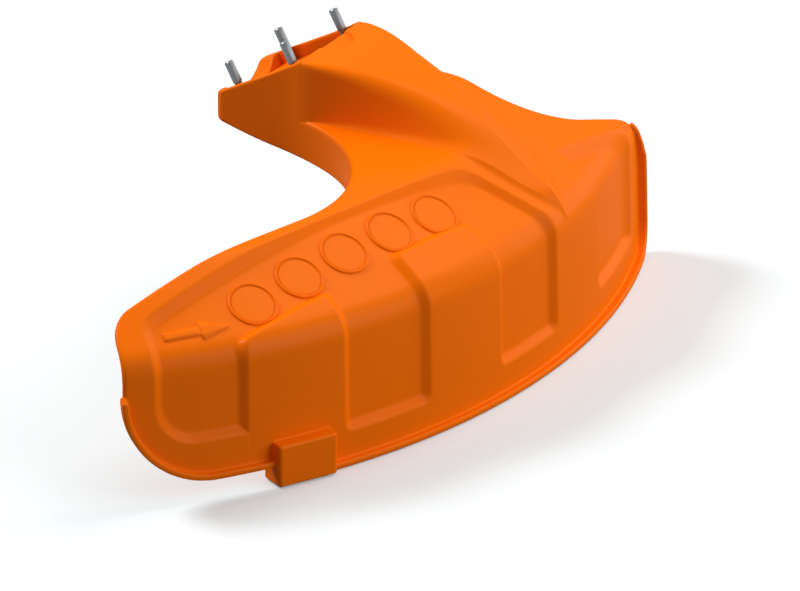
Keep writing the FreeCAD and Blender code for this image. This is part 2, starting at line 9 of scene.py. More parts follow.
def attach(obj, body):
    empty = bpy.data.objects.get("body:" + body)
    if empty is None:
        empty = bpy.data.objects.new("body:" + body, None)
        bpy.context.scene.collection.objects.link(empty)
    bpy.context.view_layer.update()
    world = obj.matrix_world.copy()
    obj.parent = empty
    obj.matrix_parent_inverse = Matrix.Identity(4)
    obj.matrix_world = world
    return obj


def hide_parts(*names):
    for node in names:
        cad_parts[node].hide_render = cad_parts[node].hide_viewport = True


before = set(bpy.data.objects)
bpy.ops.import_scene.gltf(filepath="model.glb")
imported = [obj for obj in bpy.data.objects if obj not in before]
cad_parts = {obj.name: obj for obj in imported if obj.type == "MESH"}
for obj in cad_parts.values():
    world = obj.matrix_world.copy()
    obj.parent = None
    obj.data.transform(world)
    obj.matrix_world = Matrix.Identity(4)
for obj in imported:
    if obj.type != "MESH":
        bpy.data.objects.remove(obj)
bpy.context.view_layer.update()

# All sizes below are in millimetres, in the CAD's own frame, unless a name says metres.
# The origin is the middle of the screw pattern on the seat, -Y points to the guard's wall.
MM = 0.001
FAR_OFF = 1000.0   # a distance that takes no part where a form is not wanted

# Skirt: turned about an upright axis behind the seat
AXIS_X, AXIS_Y = -33.0, 203.0
RIM = -122.0
WALL_RADIUS = 372.0
WALL_LEAN = math.tan(math.radians(1.0))
WALL_RISE = 80.0
TOP_SLOPE = math.tan(math.radians(30.0))
BEND_BLEND = 9.0
CROWN = 5.0
SHOULDER = -11.5
SKIN = 3.0
INNER_RADIUS = 200.0
NEAR_ANGLE, FAR_ANGLE = math.radians(42.7), math.radians(-26.0)

# Rim: rounded ends, a lip along it and a clip lug
NEAR_LIFT, NEAR_CORNER = 10.5, 52.0
FAR_CORNER = 19.0
FAR_TOP_FOOT, FAR_TOP_RUN, FAR_TOP_RISE = 58.0, 19.0, 26.0
FAR_TOP_BLEND = 9.0
LIP_WIDTH, LIP_THICKNESS, FAR_LIP_EXTRA = 3.95, 3.5, 0.9
LIP_ROUND, LIP_ROOT = 1.2, 1.5
NEAR_LIP_TOP, NEAR_LIP_FADE, FAR_LIP_TOP, FAR_LIP_FADE = 62.5, 2.0, 88.0, 34.0
LUG_ANGLE = math.radians(27.1)
LUG_LENGTH, LUG_HEIGHT, LUG_REACH, LUG_FOOT = 35.0, 22.7, 7.5, 0.8
LUG_ROUND, LUG_ROOT, LUG_WALL = 2.0, 8.0, 2.2

# Recesses and the pads that stay raised in them
RECESS_DEPTH, RECESS_FOOT, RECESS_END_FOOT, RECESS_CORNER = 3.4, 18.0, 31.5, 24.0
RECESS_DRAFT = 1.25
EDGE_BLEND = 0.8
FOOT_CORNER = 5.0
RECESS_NEAR, RECESS_FAR = math.radians(39.8), math.radians(-3.1)
RECESS_NEAR_BACK, RECESS_FAR_BACK, RECESS_FAR_TOP = 347.0, 324.0, 366.0
RECESS_FAR_TURN = math.radians(-0.4)
PADS = [
    # first edge, its top radius, other edge, its top radius
    (math.radians(31.8), 366.0, math.radians(22.8), 354.0),
    (math.radians(13.9), 347.0, math.radians(5.3), 348.0),
]
SIDE_START, SIDE_END = math.radians(-11.2), math.radians(-21.4)
SIDE_BACK, SIDE_TIP = 347.0, 367.5

# Collar and seat
TILT = math.radians(29.4)
HALF = 30.5
COLLAR_FRONT, COLLAR_FAR_FRONT, COLLAR_BACK, COLLAR_RIM = 31.6, 41.2, 28.0, 7.0
COLLAR_CORNER = 4.5
COLLAR_SPARE = 3.0   # how far the collar's block stands out before the outline cuts it
PEAK_CROWN = 0.7     # extra height of the collar's rim at its peak
SKIRT_DROP = 5.0     # how far the skirt stays below the collar's rim
POCKET_BACK, POCKET_SLOPE = 22.0, 0.75
NOTCH_X, NOTCH_Y, NOTCH_RADIUS, NOTCH_LEVEL = 2.0, -19.3, 12.3, 19.8
FRONT_Y = COLLAR_FRONT * math.cos(TILT) + COLLAR_RIM * math.sin(TILT)
FAR_FRONT_Y = COLLAR_FAR_FRONT * math.cos(TILT) + COLLAR_RIM * math.sin(TILT)
PEAK_Y = -COLLAR_BACK * math.cos(TILT) + COLLAR_RIM * math.sin(TILT)
PEAK_Z = COLLAR_BACK * math.sin(TILT) + COLLAR_RIM * math.cos(TILT)
SEAT_PLATE = 4.0
SADDLE_RADIUS, SADDLE_DEPTH = 33.0, 9.5
SCREW_X, SCREW_ALONG = 24.5, 19.4
HOLE_RADIUS, HOLE_DEPTH = 2.75, 20.0
BOSS_RADIUS, BOSS_DEPTH = 6.5, 5.0
WINDOW_WIDTH, WINDOW_LENGTH = 11.0, 22.0

# Lower edge of the open back, sloping from the collar and then level
EDGE_DROP, EDGE_LEVEL = -24.5, -35.0
EDGE_SLOPE = math.tan(math.radians(13.8))
EDGE_BEND = 8.0
RIB_ROOM = -75.0     # the edge is cut in front of this Y only beside the skirt's wall


def smooth_max(a, b, reach):
    """Larger of two distances, blended where they differ by less than reach."""
    share = np.maximum(reach - np.abs(a - b), 0.0) / reach
    return np.maximum(a, b) + share * share * (reach * 0.25)


def smooth_min(a, b, reach):
    return -smooth_max(-a, -b, reach)


def round_max(a, b, radius):
    """Larger of two distances that cross at a right angle, with a round corner."""
    inner = np.minimum(np.maximum(a, b), -radius)
    return inner + np.hypot(np.maximum(a + radius, 0.0), np.maximum(b + radius, 0.0))


def spline(places, values):
    """Natural cubic spline through a few points, as a function."""
    x = np.array(places, float)
    v = np.array(values, float)
    n = len(x)
    gap = np.diff(x)
    matrix = np.eye(n)
    right = np.zeros(n)
    for i in range(1, n - 1):
        matrix[i, i - 1:i + 2] = gap[i - 1], 2 * (gap[i - 1] + gap[i]), gap[i]
        right[i] = 6 * ((v[i + 1] - v[i]) / gap[i] - (v[i] - v[i - 1]) / gap[i - 1])
    bend = np.linalg.solve(matrix, right)

    def at(p):
        p = np.clip(p, x[0], x[-1])
        i = np.clip(np.searchsorted(x, p) - 1, 0, n - 2)
        left, ahead, h = p - x[i], x[i + 1] - p, gap[i]
        return ((bend[i] * ahead ** 3 + bend[i + 1] * left ** 3) / (6 * h)
                + (v[i] / h - bend[i] * h / 6) * ahead + (v[i + 1] / h - bend[i + 1] * h / 6) * left)
    return at


def on_plan(angle, radius):
    return np.array([AXIS_X - math.sin(angle) * radius, AXIS_Y - math.cos(angle) * radius])


def line_side(x, y, start, stop):
    """Distance from the line through two plan points, positive on its right-hand side."""
    run = (stop - start) / np.linalg.norm(stop - start)
    return (x - start[0]) * run[1] - (y - start[1]) * run[0]


def turned_corner(x, y, corner, first, second, radius, plain, hollow):
    """Plain distance near a corner, with its round part; first and second are points on its sides."""
    one = (first - corner) / np.linalg.norm(first - corner)
    two = (second - corner) / np.linalg.norm(second - corner)
    half = math.acos(float(one @ two)) / 2
    middle = corner + (one + two) / np.linalg.norm(one + two) * radius / math.sin(half)
    dx, dy = x - middle[0], y - middle[1]
    round_part = np.hypot(dx, dy) - radius
    if hollow:
        round_part = -round_part
    within = (dx * one[0] + dy * one[1] < 0) & (dx * two[0] + dy * two[1] < 0)
    return np.where(within, round_part, plain)


# Plan corners of the outline: near wing's tip, the two fillets beside the collar, far wing's back
BEYOND = WALL_RADIUS + 60.0
NEAR_TIP = np.array([-264.5, -51.0])
NEAR_FILLET = np.array([-HALF, -115.0])
NEAR_FILLET_RADIUS = 83.3
NEAR_TIP_RADIUS = 20.0
FAR_FILLET = np.array([HALF, -114.5])
FAR_FILLET_RADIUS = 64.0
FAR_TIP = np.array([116.0, -134.5])


def plan_distance(x, y):
    """Outline of the guard seen from above, negative inside."""
    end = line_side(x, y, NEAR_TIP, on_plan(NEAR_ANGLE, BEYOND))
    back = -line_side(x, y, NEAR_TIP, NEAR_FILLET)
    near = np.minimum(back, -HALF - x)
    up_near = np.array([-HALF, FRONT_Y])
    near = turned_corner(x, y, NEAR_FILLET, NEAR_TIP, up_near, NEAR_FILLET_RADIUS, near, True)
    tip = np.maximum(near, end)
    tip = turned_corner(x, y, NEAR_TIP, on_plan(NEAR_ANGLE, BEYOND), NEAR_FILLET, NEAR_TIP_RADIUS, tip, False)
    far_back = -line_side(x, y, FAR_FILLET, FAR_TIP)
    far_back = np.minimum(far_back, -line_side(x, y, FAR_TIP, on_plan(FAR_ANGLE, WALL_RADIUS - SKIN - 1.0)))
    far = np.minimum(far_back, x - HALF)
    up_far = np.array([HALF, FAR_FRONT_Y])
    far = turned_corner(x, y, FAR_FILLET, FAR_TIP, up_far, FAR_FILLET_RADIUS, far, True)
    far_end = -line_side(x, y, on_plan(0, 0), on_plan(FAR_ANGLE, BEYOND))
    both = np.maximum(np.maximum(tip, far), far_end)
    front = -line_side(x, y, up_near, up_far)
    return round_max(both, front, COLLAR_CORNER)


def wedge(x, y, angle, sign):
    """Distance from an upright plane through the axis, positive on its sign side."""
    return sign * -((x - AXIS_X) * math.cos(angle) - (y - AXIS_Y) * math.sin(angle))


def recess_distance(x, y, z):
    """Outline of the recess in the long wing, negative inside."""
    near = wedge(x, y, RECESS_NEAR, 1)
    back = line_side(x, y, on_plan(RECESS_FAR_TURN, RECESS_FAR_BACK), on_plan(RECESS_NEAR, RECESS_NEAR_BACK))
    far = line_side(x, y, on_plan(RECESS_FAR, RECESS_FAR_TOP), on_plan(RECESS_FAR_TURN, RECESS_FAR_BACK))
    side = wedge(x, y, RECESS_FAR, -1)
    far = smooth_max(far, side, 2.0)
    plan = smooth_max(smooth_max(near, back, 8.0), far, 9.0)
    for start, start_top, end, end_top in PADS:
        pad = smooth_max(wedge(x, y, start, 1), wedge(x, y, end, -1), 1.0)
        top = line_side(x, y, on_plan(end, end_top), on_plan(start, start_top))
        plan = smooth_max(plan, -smooth_max(pad, top, 4.5), 1.0)
    height = z - RIM
    foot = round_max(RECESS_FOOT - height, plan, FOOT_CORNER)
    end_foot = round_max(RECESS_END_FOOT - height, near, RECESS_CORNER)
    first_pad = wedge(x, y, PADS[0][0], -1)
    end_foot = np.where(first_pad > 0, -FAR_OFF, end_foot)
    return np.maximum(np.maximum(foot, plan), end_foot)


def side_recess_distance(x, y, z):
    """Outline of the recess in the short wing, negative inside."""
    start = wedge(x, y, SIDE_START, 1)
    end = wedge(x, y, SIDE_END, -1)
    back = line_side(x, y, on_plan(SIDE_END, SIDE_TIP), on_plan(SIDE_START, SIDE_BACK))
    plan = smooth_max(smooth_max(start, back, 5.0), end, 6.0)
    return round_max(RECESS_FOOT - (z - RIM), plan, FOOT_CORNER)


def skirt_distance(x, y, z, radius):
    """Skirt's surface with its recesses, without outline, rim and hollow."""
    wall = radius - WALL_RADIUS + WALL_LEAN * (z - RIM)
    line = RIM + WALL_RISE + (WALL_RADIUS - WALL_RISE * WALL_LEAN) * TOP_SLOPE
    slope = (z + radius * TOP_SLOPE - line) / math.hypot(1.0, TOP_SLOPE)
    plain = smooth_max(smooth_max(wall, slope, BEND_BLEND), z - CROWN, 6.0)
    shoulder = np.where(x < 0, z - SHOULDER, z - CROWN)
    plain = smooth_max(plain, shoulder, 3.0)
    for outline in (recess_distance(x, y, z), side_recess_distance(x, y, z)):
        drafted = (outline - RECESS_DRAFT * plain) / math.hypot(1.0, RECESS_DRAFT)
        sunk = smooth_max(drafted, -(plain + RECESS_DEPTH), EDGE_BLEND)
        plain = smooth_max(plain, -sunk, EDGE_BLEND)
    return np.maximum(plain, INNER_RADIUS - radius)


# Neck: half sections from the bend of the skirt to the collar's peak and a little inside it
NECK_Y = [-166.5, -161.0, -150.0, -130.0, -107.0, -75.0, -43.0, -30.0, PEAK_Y, -10.0]
NECK_RIDGE = [-42.5, -34.0, -26.0, -13.0, 1.8, 14.0, 20.6, 21.3, PEAK_Z + 0.8, 15.0]
NECK_RIDGE_X = [0.8, 1.3, 3.0, 7.4, 12.3, 19.6, 28.6, 31.7, 33.5, 35.2]
NECK_FOOT_X = [2.0, 3.7, 9.0, 17.0, 22.5, 25.2, 29.2, 31.8, 33.5, 35.2]
NECK_FOOT_Z = [-44.0, -37.5, -30.0, -18.0, SHOULDER, SHOULDER, SHOULDER, SHOULDER, SHOULDER, SHOULDER]
NECK_OVERLAP, NECK_INSET = 4.0, 2.5
RIDGE_LEAST, RIDGE_SOFT, RIDGE_SOFTER, SOFT_RUN = 0.8, 2.5, 6.5, 40.0
ridge_height = spline(NECK_Y, NECK_RIDGE)
ridge_half = spline(NECK_Y, NECK_RIDGE_X)
foot_half = spline(NECK_Y, NECK_FOOT_X)
foot_height = spline(NECK_Y, NECK_FOOT_Z)


def neck_distance(x, y, z, radius):
    """Neck between the collar and the bend, kept inside the skirt's wall."""
    ridge_x, ridge_z = np.maximum(ridge_half(y), RIDGE_LEAST), ridge_height(y)
    foot_x, foot_z = foot_half(y), foot_height(y)
    rise, lean = ridge_z - foot_z, foot_x - ridge_x
    side = ((np.abs(x) - foot_x) * rise + (z - foot_z) * lean) / np.hypot(rise, lean)
    side = np.maximum(side, np.abs(x) - foot_x)
    fall = (ridge_height(y + 1.0) - ridge_height(y - 1.0)) / 2.0
    top = (z - ridge_z) / np.sqrt(1.0 + fall * fall)
    soft = RIDGE_SOFT + RIDGE_SOFTER * np.clip((PEAK_Y - y) / SOFT_RUN, 0.0, 1.0)
    ends = np.maximum(y - PEAK_Y - NECK_OVERLAP, NECK_Y[0] - y)
    within = np.maximum(ends, radius - WALL_RADIUS + NECK_INSET)
    return np.maximum(smooth_max(side, top, soft), within)


def along_seat(y, z):
    """(height above the seat, reach along it towards the wall)."""
    return y * math.sin(TILT) + z * math.cos(TILT), -y * math.cos(TILT) + z * math.sin(TILT)


# Reach of the blends between the skirt and the neck, and along the outline
MERGE_LEAST, MERGE_MOST, MERGE_START, MERGE_RUN, MERGE_WALL_RUN = 0.1, 4.9, -25.0, 30.0, 12.0
OUTLINE_LEAST, OUTLINE_MORE, OUTLINE_START, OUTLINE_RUN = 1.2, 1.6, 6.0, 8.0


def mass_distance(x, y, z, radius, over_rim, skirt):
    """Skirt, neck and collar joined and cut to the outline, still solid."""
    collar = np.maximum(np.abs(x) - HALF - COLLAR_SPARE, y - FAR_FRONT_Y - COLLAR_SPARE)
    collar = np.maximum(np.maximum(collar, PEAK_Y - 1.0 - y), over_rim)
    neck = neck_distance(x, y, z, radius)
    neck = np.where(y > PEAK_Y, np.maximum(neck, over_rim), neck)
    top = smooth_min(neck, collar, 1.0)
    merge = np.clip((MERGE_START - y) / MERGE_RUN, 0.0, 1.0)
    merge = merge * np.clip((WALL_RADIUS - radius) / MERGE_WALL_RUN, 0.0, 1.0)
    joined = smooth_min(skirt, top, MERGE_LEAST + MERGE_MOST * merge)
    reach = np.clip((PEAK_Y + OUTLINE_START - y) / OUTLINE_RUN, 0.0, 1.0)
    return smooth_max(joined, plan_distance(x, y), OUTLINE_LEAST + OUTLINE_MORE * reach)


def rim_distance(height, angle):
    """Outline of the wall as if unrolled: rim and rounded wing ends, negative inside."""
    arc = WALL_RADIUS * angle
    near_rim = round_max(NEAR_LIFT - height, arc - WALL_RADIUS * NEAR_ANGLE, NEAR_CORNER)
    far_end = WALL_RADIUS * FAR_ANGLE - arc
    run = np.maximum(-far_end, 0.0)
    far_top = (height - FAR_TOP_FOOT) * FAR_TOP_RUN - run * FAR_TOP_RISE
    far_top = far_top / math.hypot(FAR_TOP_RUN, FAR_TOP_RISE) - 2.0 * np.maximum(run - FAR_TOP_RUN, 0.0)
    far_rim = smooth_max(round_max(-height, far_end, FAR_CORNER), far_top, FAR_TOP_BLEND)
    return np.where(angle > LUG_ANGLE, near_rim, np.where(angle < 0, far_rim, -height))


def lip_distance(height, angle, rim, outer_wall, skirt):
    """Lip that stands out from the wall along the rim and up both ends."""
    top = np.where(angle > 0, NEAR_LIP_TOP, FAR_LIP_TOP)
    fade = np.where(angle > 0, NEAR_LIP_FADE, FAR_LIP_FADE)
    width = LIP_WIDTH + FAR_LIP_EXTRA * np.clip(angle / FAR_ANGLE, 0.0, 1.0)
    width = width * np.clip((top - height) / fade, -1.0, 1.0)
    across = np.abs(rim + LIP_THICKNESS / 2) - LIP_THICKNESS / 2
    lip = round_max(np.maximum(outer_wall, skirt) - width, across, LIP_ROUND)
    return np.maximum(np.maximum(lip, -LIP_ROOT - outer_wall), height - top)


def lug_distances(x, y, height):
    """Clip lug's block, and the room inside it that is open below."""
    out_x, out_y = -math.sin(LUG_ANGLE), -math.cos(LUG_ANGLE)
    centre = on_plan(LUG_ANGLE, WALL_RADIUS)
    reach = (x - centre[0]) * out_x + (y - centre[1]) * out_y
    beside = np.abs((x - centre[0]) * -out_y + (y - centre[1]) * out_x) - LUG_LENGTH / 2
    over = height - LUG_FOOT - LUG_HEIGHT
    block = smooth_max(round_max(reach - LUG_REACH, beside, LUG_ROUND), over, 1.6)
    block = np.maximum(np.maximum(block, LUG_FOOT - height), -LUG_ROOT - reach)
    room = np.maximum(reach - LUG_REACH + LUG_WALL, beside + LUG_WALL)
    room = np.maximum(room, np.maximum(over + LUG_WALL, LUG_WALL - LUG_ROOT - reach))
    return block, room


def cut_seat(shell, x, y, z, above, forward):
    """Shell with its pocket, notch, windows, saddle for the shaft tube, screw bosses and holes."""
    pocket = np.maximum(np.abs(x) - HALF + SKIN, -forward - COLLAR_FRONT + SKIN)
    pocket = np.maximum(pocket, np.maximum(-above, forward - POCKET_BACK - POCKET_SLOPE * above))
    shell = smooth_max(shell, -pocket, EDGE_BLEND)
    notch = np.maximum(np.hypot(x - NOTCH_X, y - NOTCH_Y) - NOTCH_RADIUS, NOTCH_LEVEL - z)
    shell = smooth_max(shell, -notch, 1.0)
    for side in (-1, 1):
        middle = side * (HALF - SKIN - WINDOW_WIDTH / 2)
        window = np.maximum(np.abs(x - middle) - WINDOW_WIDTH / 2, np.abs(forward) - WINDOW_LENGTH / 2)
        shell = np.maximum(shell, -np.maximum(window, np.abs(above) - 2 * SEAT_PLATE))
    saddle_height = COLLAR_RIM + SADDLE_RADIUS - SADDLE_DEPTH
    saddle = np.hypot(x, above - saddle_height) - SADDLE_RADIUS
    saddle = np.maximum(saddle, forward + COLLAR_FRONT - SKIN)
    shell = smooth_max(shell, -saddle, EDGE_BLEND)
    for across in (-SCREW_X, SCREW_X):
        for along in (-SCREW_ALONG, SCREW_ALONG):
            from_screw = np.hypot(x - across, forward - along)
            boss = np.maximum(above + 0.5 * SEAT_PLATE, -SEAT_PLATE - BOSS_DEPTH - above)
            boss = np.maximum(boss, from_screw - BOSS_RADIUS)
            boss = np.maximum(boss, np.maximum(np.abs(x) - HALF + 0.5, y - FRONT_Y + 0.5))
            hole = np.maximum(from_screw - HOLE_RADIUS, -HOLE_DEPTH - above)
            shell = np.maximum(np.minimum(shell, boss), -hole)
    return shell


def guard_distance(x, y, z):
    """Signed distance to the whole moulding, near enough to true close to its surface."""
    dx, dy = x - AXIS_X, y - AXIS_Y
    radius = np.hypot(dx, dy)
    angle = np.arctan2(-dx, -dy)
    height = z - RIM
    above, forward = along_seat(y, z)
    over_rim = above - COLLAR_RIM - PEAK_CROWN * np.clip(forward / COLLAR_BACK, 0.0, 1.0) ** 2
    skirt = skirt_distance(x, y, z, radius)
    skirt = np.maximum(skirt, np.where(y > PEAK_Y, over_rim + SKIRT_DROP, -FAR_OFF))
    mass = mass_distance(x, y, z, radius, over_rim, skirt)

    # hollow underneath, apart from the seat plate
    keep = np.maximum(-(above + SEAT_PLATE), PEAK_Y - SKIN - y)
    shell = np.maximum(mass, -np.maximum(mass + SKIN, -keep))

    # lower edge of the open back
    edge = smooth_max(EDGE_DROP - (FRONT_Y - y) * EDGE_SLOPE, EDGE_LEVEL, EDGE_BEND)
    within = np.minimum(skirt + SKIN + 0.6, np.maximum(np.abs(x) - 2 * HALF, RIB_ROOM - y))
    shell = smooth_max(shell, -np.maximum(z - edge, within), 2.0)

    # rim, rounded ends, lip and lug
    rim = rim_distance(height, angle)
    outer_wall = radius - WALL_RADIUS + WALL_LEAN * height
    lip = lip_distance(height, angle, rim, outer_wall, skirt)
    shell = smooth_min(smooth_max(shell, rim, 1.6), lip, 1.0)
    shell = np.maximum(shell, rim + 0.01)
    block, room = lug_distances(x, y, height)
    shell = np.maximum(smooth_min(shell, block, EDGE_BLEND), -room)
    return cut_seat(shell, x, y, z, above, forward)


SLAB = 16   # grid planes worked out at once


def sample_grid(low, high, step):
    """Field on a grid, worked out slab by slab along X."""
    axes = [np.arange(a, b + step, step) for a, b in zip(low, high)]
    field = np.empty([len(a) for a in axes], np.float32)
    y = axes[1][None, :, None]
    z = axes[2][None, None, :]
    for start in range(0, len(axes[0]), SLAB):
        x = axes[0][start:start + SLAB, None, None]
        field[start:start + SLAB] = guard_distance(x, y, z)
    return axes, field


def net_of_surface(axes, field, step):
    """One vertex in each cell that the surface crosses, and a quad for each crossed grid edge."""
    inside = field < 0
    shape = tuple(n - 1 for n in field.shape)
    count = np.zeros(shape, np.int8)
    for i in (0, 1):
        for j in (0, 1):
            for k in (0, 1):
                count += inside[i:i + shape[0], j:j + shape[1], k:k + shape[2]]
    cells = np.nonzero((count > 0) & (count < 8))
    number = np.full(shape, -1, np.int32)
    number[cells] = np.arange(len(cells[0]))
    total = np.zeros((len(cells[0]), 3))
    crossings = np.zeros(len(cells[0]))
    for i, j, k in ((a, b, c) for a in (0, 1) for b in (0, 1) for c in (0, 1)):
        for d in range(3):
            first = [i, j, k]
            if first[d]:
                continue
            second = list(first)
            second[d] = 1
            a = field[tuple(c + f for c, f in zip(cells, first))]
            b = field[tuple(c + f for c, f in zip(cells, second))]
            cross = (a < 0) != (b < 0)
            share = np.where(cross, a / np.where(cross, a - b, 1.0), 0.0)
            place = np.array(first, float)[None, :].repeat(len(a), 0)
            place[:, d] = share
            total[cross] += place[cross]
            crossings += cross
    origin = np.array([a[0] for a in axes])
    points = origin + step * (np.stack(cells, 1) + total / crossings[:, None])
    quads = []
    for d in range(3):
        others = [e for e in range(3) if e != d]
        low = [slice(None)] * 3
        high = [slice(None)] * 3
        low[d], high[d] = slice(0, -1), slice(1, None)
        change = inside[tuple(low)] != inside[tuple(high)]
        trim = [slice(None)] * 3
        for e in others:
            trim[e] = slice(1, -1)
        change = change[tuple(trim)]
        places = list(np.nonzero(change))
        for e in others:
            places[e] = places[e] + 1
        start_inside = inside[tuple(places)]
        ring = []
        for p, q in ((0, 0), (-1, 0), (-1, -1), (0, -1)):
            cell = list(places)
            cell[others[0]] = cell[others[0]] + p
            cell[others[1]] = cell[others[1]] + q
            ring.append(number[tuple(cell)])
        ring = np.stack(ring, 1)
        turn = start_inside if d != 1 else ~start_inside
        ring[~turn] = ring[~turn][:, ::-1]
        quads.append(ring)
    return points, np.concatenate(quads)


def slope_of_field(points, gap=0.12):
    """Field and its gradient at points."""
    x, y, z = points[:, 0], points[:, 1], points[:, 2]
    gradient = np.empty_like(points)
    for d in range(3):
        shift = np.zeros(3)
        shift[d] = gap
        ahead = guard_distance(x + shift[0], y + shift[1], z + shift[2])
        behind = guard_distance(x - shift[0], y - shift[1], z - shift[2])
        gradient[:, d] = (ahead - behind) / (2 * gap)
    return guard_distance(x, y, z), gradient


def settle(points, rounds, limit):
    """Moves points onto the surface along the field's gradient."""
    for _ in range(rounds):
        value, gradient = slope_of_field(points)
        steep = np.maximum((gradient ** 2).sum(1), 0.05)
        move = -gradient * (value / steep)[:, None]
        length = np.linalg.norm(move, axis=1)
        move *= np.minimum(1.0, limit / np.maximum(length, 1e-9))[:, None]
        points = points + move
    return points


def mesh_object(name, points, faces, material):
    """Object from points in millimetres, smooth all over."""
    mesh = bpy.data.meshes.new(name)
    mesh.vertices.add(len(points))
    mesh.vertices.foreach_set("co", (np.asarray(points) * MM).astype(np.float32).ravel())
    size = faces.shape[1]
    mesh.loops.add(faces.size)
    mesh.loops.foreach_set("vertex_index", faces.astype(np.int32).ravel())
    mesh.polygons.add(len(faces))
    mesh.polygons.foreach_set("loop_start", np.arange(0, faces.size, size, dtype=np.int32))
    mesh.update(calc_edges=True)
    mesh.validate()
    mesh.shade_smooth()
    thing = bpy.data.objects.new(name, mesh)
    bpy.context.scene.collection.objects.link(thing)
    mesh.materials.append(material)
    return thing


def thin_out(thing, triangles):
    """Collapses edges of thing until about that many triangles are left."""
    modifier = thing.modifiers.new("thin_out", "DECIMATE")
    modifier.ratio = min(1.0, triangles / (2.0 * len(thing.data.polygons)))
    graph = bpy.context.evaluated_depsgraph_get()
    mesh = bpy.data.meshes.new_from_object(thing.evaluated_get(graph))
    thing.modifiers.clear()
    thing.data = mesh


def surface_normals(thing, gap):
    """Takes the shading normals from the field instead of the facets."""
    mesh = thing.data
    points = np.empty(len(mesh.vertices) * 3, np.float32)
    mesh.vertices.foreach_get("co", points)
    points = settle(points.reshape(-1, 3).astype(float) / MM, 1, 0.4)
    mesh.vertices.foreach_set("co", (points * MM).astype(np.float32).ravel())
    mesh.update()
    gradient = slope_of_field(points, gap)[1]
    gradient /= np.maximum(np.linalg.norm(gradient, axis=1), 1e-9)[:, None]
    mesh.shade_smooth()
    mesh.normals_split_custom_set_from_vertices(gradient.tolist())


# Materials
def plain_material(name, colour, roughness, metallic=0.0):
    material = bpy.data.materials.new(name)
    material.use_nodes = True
    shader = material.node_tree.nodes["Principled BSDF"]
    shader.inputs["Base Color"].default_value = (*colour, 1.0)
    shader.inputs["Roughness"].default_value = roughness
    shader.inputs["Metallic"].default_value = metallic
    return material


def grained(material, scale, strength, distance):
    """Adds a fine moulded or drawn grain to a material."""
    nodes, links = material.node_tree.nodes, material.node_tree.links
    place = nodes.new("ShaderNodeTexCoord")
    noise = nodes.new("ShaderNodeTexNoise")
    noise.inputs["Scale"].default_value = scale
    noise.inputs["Detail"].default_value = 3.0
    bump = nodes.new("ShaderNodeBump")
    bump.inputs["Strength"].default_value = strength
    bump.inputs["Distance"].default_value = distance
    links.new(place.outputs["Object"], noise.inputs["Vector"])
    links.new(noise.outputs["Fac"], bump.inputs["Height"])
    links.new(bump.outputs["Normal"], nodes["Principled BSDF"].inputs["Normal"])


orange = plain_material("orange_plastic", (0.93, 0.163, 0.001), 0.5)
orange_shader = orange.node_tree.nodes["Principled BSDF"]
orange_shader.inputs["Specular IOR Level"].default_value = 0.0
orange_shader.inputs["Coat Weight"].default_value = 0.09
orange_shader.inputs["Coat Roughness"].default_value = 0.27
orange_shader.inputs["Coat IOR"].default_value = 1.6
grained(orange, 900.0, 0.12, 0.0002)
steel = plain_material("screw_steel", (0.16, 0.165, 0.17), 0.32, 1.0)
grained(steel, 1500.0, 0.1, 0.0001)

# Guard
STEP = 0.95
GRID_LOW, GRID_HIGH = (-291.0, -176.0, -124.5), (135.0, 36.0, 24.0)
GUARD_TRIANGLES = 185000
grid_axes, grid_field = sample_grid(GRID_LOW, GRID_HIGH, STEP)
net_points, net_quads = net_of_surface(grid_axes, grid_field, STEP)
net_points = settle(net_points, 2, 0.6)
guard = mesh_object("guard", net_points, net_quads, orange)
thin_out(guard, GUARD_TRIANGLES)
surface_normals(guard, 0.25)
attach(guard, "root")
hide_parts("guard_shell")

# Plain embossed discs on the floor of the long recess
DISCS = [(29.3, 345.6), (23.8, 338.2), (18.2, 333.4), (12.4, 331.9), (6.7, 333.8)]
DISC_OUTLINE = [
    # radius, height over the floor
    (0.0, 0.45), (4.0, 0.45), (8.0, 0.45), (11.0, 0.45), (11.45, 0.4), (11.7, 0.1), (12.0, 0.1), (12.15, 0.6),
    (12.5, 1.0), (13.0, 1.0), (13.4, 0.75), (13.6, -0.3),
]


def on_surface(x, y, lift):
    """Points over the guard's upper surface above plan points, lifted along its normals."""
    z = np.full(len(x), 12.0)
    for _ in range(16):
        z = z - 0.9 * guard_distance(x, y, z)
    points = np.stack([x, y, z], 1)
    normals = slope_of_field(points)[1]
    return points + normals / np.linalg.norm(normals, axis=1)[:, None] * lift[:, None]


def raised(name, degrees, radius, along, outwards, lift, closed):
    """Mesh of rows of points laid on the slope round a place, along it and outwards, in millimetres."""
    angle = math.radians(degrees)
    centre = on_plan(angle, radius)
    run = np.array([math.cos(angle), -math.sin(angle)])
    out = np.array([-math.sin(angle), -math.cos(angle)]) / math.hypot(1.0, TOP_SLOPE)
    along, outwards, lift = (np.array(rows, float) for rows in (along, outwards, lift))
    rows, count = along.shape
    plan = centre + along.ravel()[:, None] * run + outwards.ravel()[:, None] * out
    points = on_surface(plan[:, 0], plan[:, 1], lift.ravel())
    faces = []
    for row in range(rows - 1):
        for i in range(count if closed else count - 1):
            j = (i + 1) % count
            faces.append((row * count + i, row * count + j, (row + 1) * count + j, (row + 1) * count + i))
    thing = mesh_object(name, points, np.array(faces), orange)
    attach(thing, "root")
    return thing


DISC_POINTS = 96
turns = np.linspace(0.0, 2 * math.pi, DISC_POINTS, endpoint=False)
for number, (degrees, radius) in enumerate(DISCS, start=1):
    raised("disc_%d" % number, degrees, radius,
           [ring * np.cos(turns) for ring, height in DISC_OUTLINE],
           [ring * np.sin(turns) for ring, height in DISC_OUTLINE],
           [np.full(DISC_POINTS, height) for ring, height in DISC_OUTLINE], True)

